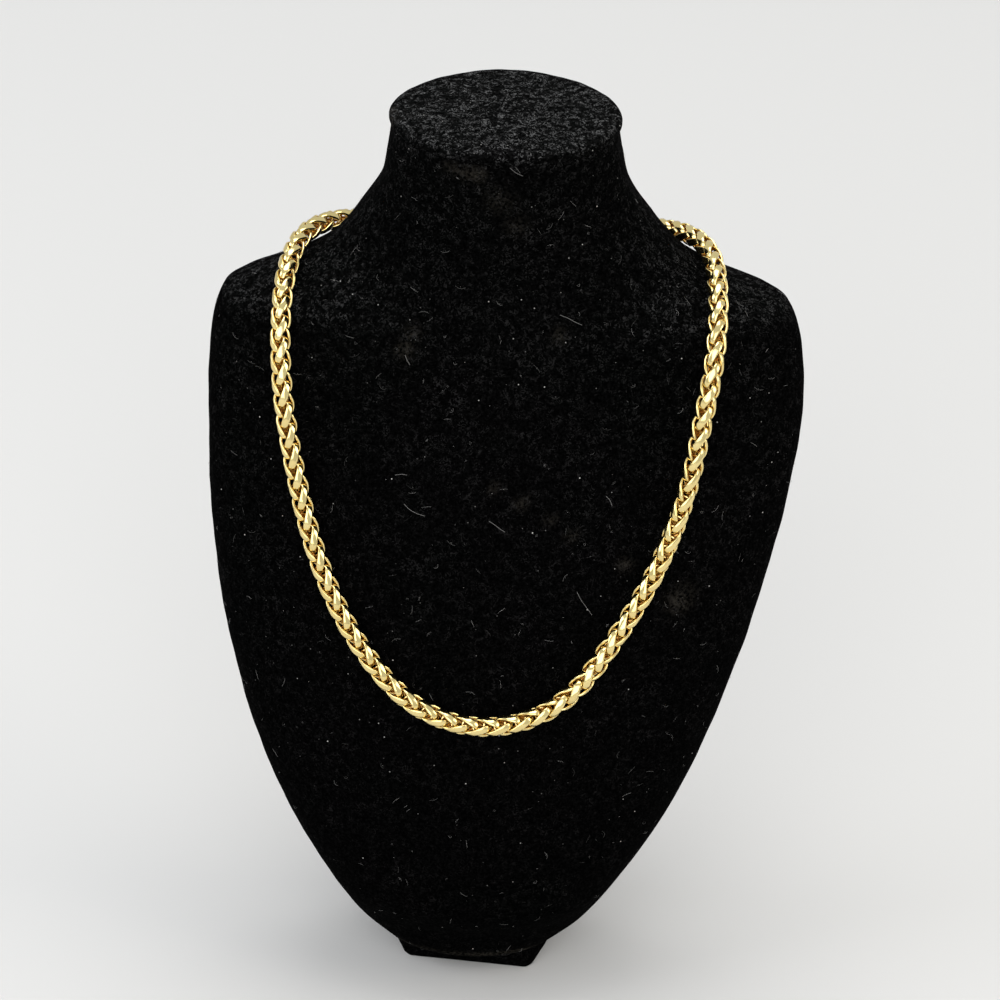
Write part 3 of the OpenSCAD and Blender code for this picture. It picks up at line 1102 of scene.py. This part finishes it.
@dataclass
class VelvetBody:
    """The velvet-covered body between the foot and the neck cap. Sizes in mm."""

    form: BustForm = field(default_factory=BustForm)
    around: int = 240
    levels: int = 190
    # The lower edge: its radius, and how far round it each ring of points lies
    rim_radius: float = 2.6
    rim_shares: tuple[float, ...] = (0.0, 0.12, 0.3, 0.55, 1.0)
    # Power that crowds the rings of points towards the foot
    crowding: float = 1.15
    # Level from which the back turns into the neck's outline, the share this takes, and how far
    # inside that outline it stays
    neck_start: float = 0.96
    neck_blend: float = 0.035
    neck_inset: float = 0.3
    # Unevenness of the padding: height, length and shift of its waves, and where it comes in
    uneven: float = 0.28
    uneven_span: float = 46.0
    uneven_seed: float = 1.3
    uneven_start: float = 4.0
    uneven_blend: float = 10.0
    # Lint that settles, with painted light from above: the least, what height adds, what facing up
    # adds
    dust_and_top_light_least: float = 0.02
    dust_and_top_light_high: float = 0.10
    dust_and_top_light_start: float = 60.0
    dust_and_top_light_blend: float = 240.0
    dust_and_top_light_facing: float = 0.75
    dust_and_top_light_slope: float = 0.45
    dust_and_top_light_power: float = 1.3
    # Wear along the lower edge: height above the foot, spread and wear, and the y it lies before
    rim_wear: tuple[float, float, float] = (2.2, 1.3, 0.55)
    rim_front: float = -20.0
    # The rubbed spots lie before this y
    spots_front: float = 20.0
    view: PhotoView = field(default_factory=PhotoView)
    # Rubbed places on the front: pixel across and down in the photograph, radius in mm and wear
    rubbed_spots: tuple[tuple[float, float, float, float], ...] = (
        (404, 350, 2.4, 0.45), (413, 332, 2.0, 0.35), (559, 335, 1.9, 0.35),
        (521, 504, 1.9, 0.35), (496, 488, 1.9, 0.3), (571, 536, 1.9, 0.3),
        (550, 521, 1.9, 0.35), (625, 565, 2.4, 0.4), (680, 599, 4.0, 0.5),
        (465, 172, 2.6, 0.4), (452, 167, 2.4, 0.35), (478, 175, 2.6, 0.35),
        (500, 200, 4.5, 0.22), (516, 225, 3.5, 0.2))

    def _surface(self) -> Array:
        """Lays the rings of points from the lower rim up to the neck."""
        angle = np.arange(self.around) * 360 / self.around
        rings = []
        for share in self.rim_shares:
            height = self.rim_radius * (1 - math.cos(share * math.pi / 2))
            inset = self.rim_radius * (1 - math.sin(share * math.pi / 2))
            ring = self.form.point(angle, np.full(self.around, height / self.form.body_height))
            centre = ring.mean(0)
            reach = np.linalg.norm(ring[:, :2] - centre[:2], axis=1)[:, None]
            ring[:, :2] = centre[:2] + (ring[:, :2] - centre[:2]) * (1 - inset / reach)
            rings.append(ring)
        start = self.rim_radius / self.form.body_height
        neck = self.form.neck_middle()[:2] + self.form.neck(angle, -self.neck_inset)
        for level in start + (1 - start) * np.linspace(0, 1, self.levels)[1:] ** self.crowding:
            ring = self.form.point(angle, np.full(self.around, level))
            rise = float(np.clip((level - self.neck_start) / self.neck_blend, 0, 1))
            rise = rise * rise * (3 - 2 * rise) * (angle > 0) * (angle < 180)
            ring[:, :2] += (neck - ring[:, :2]) * rise[:, None]
            rings.append(ring)
        return np.stack(rings)

    def _dust(self, points: Array, up: Array) -> Array:
        """Gives how much lint has settled and how much painted light from above falls: most where
        the velvet faces up, least low down.
        """
        high = np.clip((points[:, 2] - self.dust_and_top_light_start) / self.dust_and_top_light_blend, 0, 1)
        lying = np.clip(up - self.dust_and_top_light_slope, 0, 1) ** self.dust_and_top_light_power
        settled = self.dust_and_top_light_least + self.dust_and_top_light_high * high + self.dust_and_top_light_facing * lying
        return np.clip(settled, 0, 1)

    def build(self, velvet: Material) -> Piece:
        """Makes the body.

        Args:
            velvet: its finish.

        Returns:
            The finished piece.
        """
        rings = self._surface()
        flat = rings.reshape(-1, 3)
        centre = rings.mean(1, keepdims=True)
        away = (rings - centre).reshape(-1, 3)
        away[:, 2] = 0
        away /= np.maximum(np.linalg.norm(away, axis=1, keepdims=True), 1e-6)
        above = flat[:, 2] - self.form.foot_height
        fade = np.clip((above - self.uneven_start) / self.uneven_blend, 0, 1)
        swell = self.uneven * fade * ripple(flat, self.uneven_span, self.uneven_seed)
        flat = flat + away * swell[:, None]
        points = np.vstack([flat, rings[0].mean(0), rings[-1].mean(0)])
        mesh = plain_mesh("velvet_body", points, closed_faces(len(rings), self.around))
        worn = np.zeros(len(points))
        for u, v, size, how in self.rubbed_spots:
            spot = self.view.place(self.form, u, v)
            near = np.hypot(points[:, 0] - spot[0], points[:, 2] - spot[2])
            worn += how * np.exp(-(near / size) ** 2) * (points[:, 1] < self.spots_front)
        rise, spread, how = self.rim_wear
        rim = np.exp(-((points[:, 2] - self.form.foot_height - rise) / spread) ** 2)
        worn += how * rim * (points[:, 1] < self.rim_front)
        mark(mesh, "rubbed", np.clip(worn, 0, 1))
        normals = np.zeros(len(points) * 3)
        mesh.vertices.foreach_get("normal", normals)
        # Settled lint and painted light from above, carried in one attribute
        mark(mesh, "dust", self._dust(points, normals.reshape(-1, 3)[:, 2]))
        return show(mesh, velvet, Slot.BODY, "bust_body")


@dataclass
class NeckCap:
    """The firm padded lid on the neck, its cover drawn down over the edge. Sizes in mm."""

    form: BustForm = field(default_factory=BustForm)
    around: int = 144
    dome: float = 0.9
    # Side of the lid from below: how far outside the neck, and height above its underside
    profile: tuple[tuple[float, float], ...] = (
        (-3.0, 0.3), (-1.2, 0.15), (0.0, 0.3), (0.65, 0.75), (0.95, 1.4), (0.95, 2.3),
        (0.7, 3.2), (0.25, 3.9), (-0.35, 4.35), (-1.2, 4.7), (-2.6, 4.9), (-4.6, 5.0))
    rings: tuple[float, ...] = (0.93, 0.84, 0.74, 0.63, 0.51, 0.39, 0.27, 0.15, 0.06)
    # Unevenness of the padding: height, length and shift of its waves, and the rise it is full at
    uneven: float = 0.22
    uneven_span: float = 17.0
    uneven_seed: float = 4.1
    uneven_full: float = 4.0
    # The scuff at the edge on the wearer's right: angle, spread, wear and how sharply it starts
    scuff_angle: float = -173.0
    scuff_spread: float = 5.0
    scuff_wear: float = 1.6
    scuff_slope: float = 20.0
    # Lint and painted light from above, by share of the height: below which share there is little,
    # how much, how it then grows
    clean_share: float = 0.12
    clean_dust_and_top_light: float = 0.02
    dust_and_top_light_least: float = 0.42
    dust_and_top_light_slope: float = 1.2
    dust_and_top_light_offset: float = 0.1
    dust_and_top_light_power: float = 1.4

    def build(self, velvet: Material) -> None:
        """Makes the cap.

        Args:
            velvet: its finish.
        """
        angle = np.arange(self.around) * 360 / self.around
        middle = self.form.neck_middle()
        rings = []
        for grow_by, rise in self.profile:
            rings.append(level_ring(self.form.neck(angle, grow_by), rise))
        edge, edge_rise = self.profile[-1]
        for share in self.rings:
            rise = edge_rise + self.dome * (1 - share ** 2)
            rings.append(level_ring(self.form.neck(angle, edge) * share, rise))
        stacked = np.vstack(rings)
        tall = np.clip(stacked[:, 2] / self.uneven_full, 0, 1)
        flat = stacked + middle
        flat[:, 2] += self.uneven * tall * ripple(flat, self.uneven_span, self.uneven_seed)
        top = middle + np.array([0, 0, edge_rise + self.dome])
        points = np.vstack([flat, rings[0].mean(0) + middle, top])
        mesh = plain_mesh("neck_cap_pad", points, closed_faces(len(rings), self.around))
        local = points - middle
        turn = np.degrees(np.arctan2(local[:, 1], local[:, 0]))
        half = self.form.neck(turn, 0.0)
        out = np.hypot(local[:, 0], local[:, 1]) / np.hypot(half[:, 0], half[:, 1])
        scuff = np.exp(-((turn - self.scuff_angle) / self.scuff_spread) ** 2)
        scuff = scuff * np.clip(out * self.scuff_slope - (self.scuff_slope - 1), 0, 1)
        mark(mesh, "rubbed", np.clip(self.scuff_wear * scuff, 0, 1))
        # Painted light from above with lint: the lid's top is painted paler than its side
        rise = local[:, 2] / self.form.cap_thickness
        lying = np.clip(self.dust_and_top_light_slope * rise - self.dust_and_top_light_offset, self.dust_and_top_light_least, 1)
        dust = np.where(rise < self.clean_share, self.clean_dust_and_top_light, lying ** self.dust_and_top_light_power)
        mark(mesh, "dust", dust)
        piece = show(mesh, velvet, Slot.CAP, "neck_cap")


@dataclass
class Foot:
    """The small velvet-covered block that the body stands on. Sizes in mm."""

    height: float = 11.0
    floor_w: float = 46.0
    top_w: float = 56.0
    depth: float = 76.0
    turned: float = 6.0
    corner: float = 3.0
    edge: float = 1.2
    # Share of the edge at which the middle of its rounding lies, and height of the top band
    edge_middle: float = 0.3
    top_band: float = 1.5
    corner_steps: int = 8
    # How much of the velvet's dust and painted top light the foot gets, the same all over
    dust: float = 0.06

    def _outline(self, width: float, depth: float, corner: float) -> Array:
        """Gives a rectangle with round corners, one row of x and y for each point."""
        points = []
        for quarter, (sx, sy) in enumerate(((1, 1), (-1, 1), (-1, -1), (1, -1))):
            centre = (sx * (width / 2 - corner), sy * (depth / 2 - corner))
            for k in range(self.corner_steps + 1):
                a = math.pi / 2 * (quarter + k / self.corner_steps)
                points.append((centre[0] + corner * math.cos(a), centre[1] + corner * math.sin(a)))
        return np.array(points)

    def build(self, velvet: Material) -> None:
        """Makes the foot.

        Args:
            velvet: its finish.
        """
        a = -math.radians(self.turned)
        spin = np.array([[math.cos(a), -math.sin(a)], [math.sin(a), math.cos(a)]])
        rings = []
        bevel = self.edge * self.edge_middle
        for inset, rise in ((self.edge, 0.0), (bevel, bevel), (0.0, self.edge),
                            (0.0, self.height / 2), (0.0, self.height - self.top_band),
                            (0.0, self.height)):
            width = self.floor_w + (self.top_w - self.floor_w) * rise / self.height - 2 * inset
            flat = self._outline(width, self.depth - 2 * inset, self.corner - inset / 2) @ spin.T
            rings.append(level_ring(flat, rise))
        stacked = np.vstack(rings)
        points = np.vstack([stacked, (0, 0, 0), (0, 0, self.height)])
        mesh = plain_mesh("velvet_foot", points, closed_faces(len(rings), len(rings[0])))
        mark(mesh, "dust", np.full(len(points), self.dust))
        show(mesh, velvet, Slot.FOOT, "foot")


@dataclass
class Lint:
    """Loose fibres and specks that the velvet has picked up. Sizes in mm."""

    fibres_per_m2: float = 5200.0
    specks_per_m2: float = 9000.0
    fibre_length: float = 1.9
    fibre_radius: float = 0.035
    speck_radius: float = 0.13
    lift: float = 0.12
    seed: int = 11
    # Least and greatest length, bow and height of a fibre, and width, depth and height of a speck
    fibre_shapes: tuple[tuple[float, float, float], ...] = ((0.35, -1.3, 0.2), (1.9, 1.3, 1.4))
    speck_shapes: tuple[tuple[float, float, float], ...] = ((0.4, 0.4, 0.3), (1.5, 1.2, 0.8))

    def _scatter(self, tree: Tree, size: object) -> bpy.types.Node:
        """Adds the node that spreads points over the velvet."""
        return add_node(tree, "GeometryNodeDistributePointsOnFaces", {
            "Mesh": size["Geometry"], "Density": size["Density"], "Seed": size["Seed"]})

    def _fibre_tree(self) -> Tree:
        """Builds the tree that lays bent fibres on a surface."""
        tree, given = start_tree("lint_fibres", {
            "Density": "NodeSocketFloat", "Length": "NodeSocketFloat",
            "Radius": "NodeSocketFloat", "Lift": "NodeSocketFloat", "Seed": "NodeSocketInt",
            "Finish": "NodeSocketMaterial"})
        size = given.outputs
        spread = self._scatter(tree, size)
        bow = add_node(tree, "GeometryNodeCurveQuadraticBezier", {
            "Resolution": 5, "Start": (-0.5, 0.0, 0.0), "Middle": (0.0, 0.55, 0.25),
            "End": (0.5, 0.0, 0.0)}).outputs[0]
        lifted = add_node(tree, "GeometryNodeSetPosition", {
            "Geometry": spread.outputs["Points"],
            "Offset": vector_calc(tree, "SCALE", spread.outputs["Normal"], size["Lift"])}).outputs[0]
        around = chance(tree, 0.0, 2 * math.pi, Draw.FIBRE_TURN)
        spin = add_node(tree, "FunctionNodeAxisAngleToRotation", {
            "Axis": (0.0, 0.0, 1.0), "Angle": around}).outputs[0]
        rotation = add_node(tree, "FunctionNodeRotateRotation", {
            "Rotation": spread.outputs["Rotation"], "Rotate By": spin},
            rotation_space="LOCAL").outputs[0]
        grow_by = chance(tree, *self.fibre_shapes, Draw.FIBRE_SIZE)
        scale = vector_calc(tree, "SCALE", grow_by, size["Length"])
        laid = add_node(tree, "GeometryNodeInstanceOnPoints", {
            "Points": lifted, "Instance": bow, "Rotation": rotation, "Scale": scale}).outputs[0]
        shaded = toned(tree, laid, Draw.FIBRE_TONE)
        curves = add_node(tree, "GeometryNodeRealizeInstances", {0: shaded}).outputs[0]
        profile = add_node(tree, "GeometryNodeCurvePrimitiveCircle", {
            "Resolution": 3, "Radius": size["Radius"]}).outputs[0]
        tube = add_node(tree, "GeometryNodeCurveToMesh", {
            "Curve": curves, "Profile Curve": profile, "Fill Caps": True}).outputs[0]
        end_tree(tree, tube, size["Finish"])
        return tree

    def _speck_tree(self) -> Tree:
        """Builds the tree that drops specks on a surface."""
        tree, given = start_tree("lint_specks", {
            "Density": "NodeSocketFloat", "Radius": "NodeSocketFloat",
            "Seed": "NodeSocketInt", "Finish": "NodeSocketMaterial"})
        size = given.outputs
        spread = self._scatter(tree, size)
        ball = add_node(tree, "GeometryNodeMeshIcoSphere", {
            "Radius": size["Radius"], "Subdivisions": 1}).outputs[0]
        scale = chance(tree, *self.speck_shapes, Draw.SPECK_SIZE)
        laid = add_node(tree, "GeometryNodeInstanceOnPoints", {
            "Points": spread.outputs["Points"], "Instance": ball,
            "Rotation": spread.outputs["Rotation"], "Scale": scale}).outputs[0]
        end_tree(tree, toned(tree, laid, Draw.SPECK_TONE), size["Finish"])
        return tree

    def build(self, ground: Piece, cotton: Material) -> None:
        """Scatters fibres and specks over the body.

        Args:
            ground: the velvet body.
            cotton: the finish of the lint.
        """
        shared = {"Seed": self.seed, "Finish": cotton}
        fibres = grow("lint_fibres", ground.data.copy(), self._fibre_tree(), {
            "Density": self.fibres_per_m2, "Length": self.fibre_length * MM,
            "Radius": self.fibre_radius * MM, "Lift": self.lift * MM, **shared})
        specks = grow("lint_specks", ground.data.copy(), self._speck_tree(), {
            "Density": self.specks_per_m2, "Radius": self.speck_radius * MM, **shared})
        for piece in (fibres, specks):
            hand_over(piece, Slot.BODY)


@dataclass
class StrayHairs:
    """A few longer hairs and bright crumbs on the front of the bust. Sizes in mm."""

    form: BustForm = field(default_factory=BustForm)
    radius: float = 0.07
    lift: float = 0.3
    sides: int = 5
    steps: int = 4
    tone: float = 0.6
    # Degrees above level that the front of the bust faces
    facing: float = 25.0
    view: PhotoView = field(default_factory=PhotoView)
    # Each hair as pixels of the photograph: across and down
    lines: tuple[tuple[tuple[float, float], ...], ...] = (
        ((404, 504), (410, 510), (418, 514), (425, 516)),
        ((489, 521), (495, 525), (500, 529), (505, 532)),
        ((560, 315), (568, 318), (575, 322), (582, 325)),
        ((395, 475), (401, 474), (407, 475)), ((405, 355), (407, 360), (410, 365)),
        ((577, 592), (581, 600), (587, 608), (592, 615)),
        ((606, 496), (610, 500), (612, 506)), ((510, 168), (516, 173), (523, 176)),
        ((525, 351), (526, 352)), ((522, 528), (523, 529)),
        ((627, 401), (628, 402)), ((420, 307), (421, 308)))

    def _rings(self, line: tuple[tuple[float, float], ...]) -> Array:
        """Lays the rings of points along one hair."""
        places = np.array(line)
        share = np.linspace(0, len(places) - 1, self.steps * (len(places) - 1) + 1)
        columns = [np.interp(share, np.arange(len(places)), places[:, k]) for k in (0, 1)]
        way = np.array([self.view.place(self.form, u, v) for u, v in zip(*columns)])
        way[1:-1] = (way[:-2] + 2 * way[1:-1] + way[2:]) / 4
        tilt = math.radians(self.facing)
        away = np.array([0.0, -math.cos(tilt), math.sin(tilt)])
        ahead = np.gradient(way, axis=0)
        ahead /= np.linalg.norm(ahead, axis=1, keepdims=True)
        beside = np.cross(ahead, away)
        beside /= np.linalg.norm(beside, axis=1, keepdims=True)
        over = np.cross(beside, ahead)
        turn = 2 * math.pi * np.arange(self.sides) / self.sides
        ring = (np.cos(turn)[None, :, None] * beside[:, None]
                + np.sin(turn)[None, :, None] * over[:, None])
        return (way + self.lift * away)[:, None] + self.radius * ring

    def build(self, cotton: Material) -> None:
        """Makes the hairs.

        Args:
            cotton: the finish of the lint.
        """
        points: list[Array] = []
        faces: list[tuple[int, ...]] = []
        for line in self.lines:
            rings = self._rings(line)
            start = sum(len(part) for part in points)
            points.append(np.vstack([rings.reshape(-1, 3), rings[0].mean(0), rings[-1].mean(0)]))
            faces += [tuple(k + start for k in face)
                      for face in closed_faces(len(rings), self.sides)]
        mesh = plain_mesh("stray_hairs", np.vstack(points), faces)
        mark(mesh, "tone", np.full(len(mesh.vertices), self.tone))
        show(mesh, cotton, Slot.BODY)


@dataclass
class Studio:
    """The plain floor, the soft lights and the camera."""

    view: PhotoView = field(default_factory=PhotoView)
    sensor: float = 36.0
    # Each light's place in metres, its width, its power and its warmth
    lights: tuple[tuple[tuple[float, float, float], float, float, str], ...] = (
        ((-0.3, -2.6, 1.75), 3.0, 58.0, "#FFFFFF"),
        ((-1.9, -0.3, 1.2), 1.2, 14.0, "#F6F9FF"),
        ((1.9, -0.3, 1.2), 1.2, 14.0, "#FFF8EC"),
        ((0.0, 0.6, 2.6), 1.6, 30.0, "#FFFFFF"))
    sky: str = "#E9ECEF"
    ambient: float = 0.75
    floor_reach: float = 6.0

    def _camera(self) -> None:
        """Sets the camera at the photograph's viewing angle."""
        across, upward, back = (Vector(axis) for axis in self.view.axes())
        lens = bpy.data.cameras.new("camera")
        lens.sensor_width = self.sensor
        lens.lens = (self.view.distance * self.view.pixels_per_mm / self.view.image_width
                     * self.sensor)
        camera = bpy.data.objects.new("camera", lens)
        turn = Matrix((across, upward, back)).transposed().to_4x4()
        place = (Vector(self.view.target) + back * self.view.distance) * MM
        camera.matrix_world = Matrix.Translation(place) @ turn
        bpy.context.scene.collection.objects.link(camera)
        bpy.context.scene.camera = camera

    def build(self) -> None:
        """Makes the floor, the lights, the pale surroundings and the camera."""
        scene = bpy.context.scene
        mesh = bpy.data.meshes.new("floor")
        corners = [(self.floor_reach * x, self.floor_reach * y, 0)
                   for x, y in ((-1, -1), (1, -1), (1, 1), (-1, 1))]
        mesh.from_pydata(corners, [], [(0, 1, 2, 3)])
        mesh.materials.append(PaleFloor().build())
        floor = bpy.data.objects.new("floor", mesh)
        scene.collection.objects.link(floor)
        for number, (place, width, power, warmth) in enumerate(self.lights):
            data = bpy.data.lights.new(f"softbox_{number}", "AREA")
            data.size = width
            data.energy = power
            data.color = linear(warmth)[:3]
            lamp = bpy.data.objects.new(data.name, data)
            lamp.location = place
            lamp.rotation_euler = (Vector(place) - Vector(self.view.target) * MM).to_track_quat(
                "Z", "Y").to_euler()
            scene.collection.objects.link(lamp)
        world = bpy.data.worlds.new("studio")
        world.use_nodes = True
        sky = world.node_tree.nodes["Background"]
        sky.inputs["Color"].default_value = linear(self.sky)
        sky.inputs["Strength"].default_value = self.ambient
        scene.world = world
        scene.view_settings.view_transform = "Standard"
        self._camera()


def main() -> None:
    """Builds the pieces in order and reports each one."""
    logging.basicConfig(level=logging.INFO, format="%(name)s %(message)s")
    gold = PlatedGold().build()
    WheatChain().build(gold)
    ChainEnds().build(gold)
    velvet = PileVelvet().build()
    body = VelvetBody().build(velvet)
    NeckCap().build(PileVelvet(name="dusty_cap_velvet", lint_share=0.12).build())
    Foot().build(PileVelvet(name="foot_pile_velvet").build())
    cotton = CottonLint().build()
    Lint().build(body, cotton)
    StrayHairs().build(cotton)
    Studio().build()


if __name__ == "__main__":
    main()
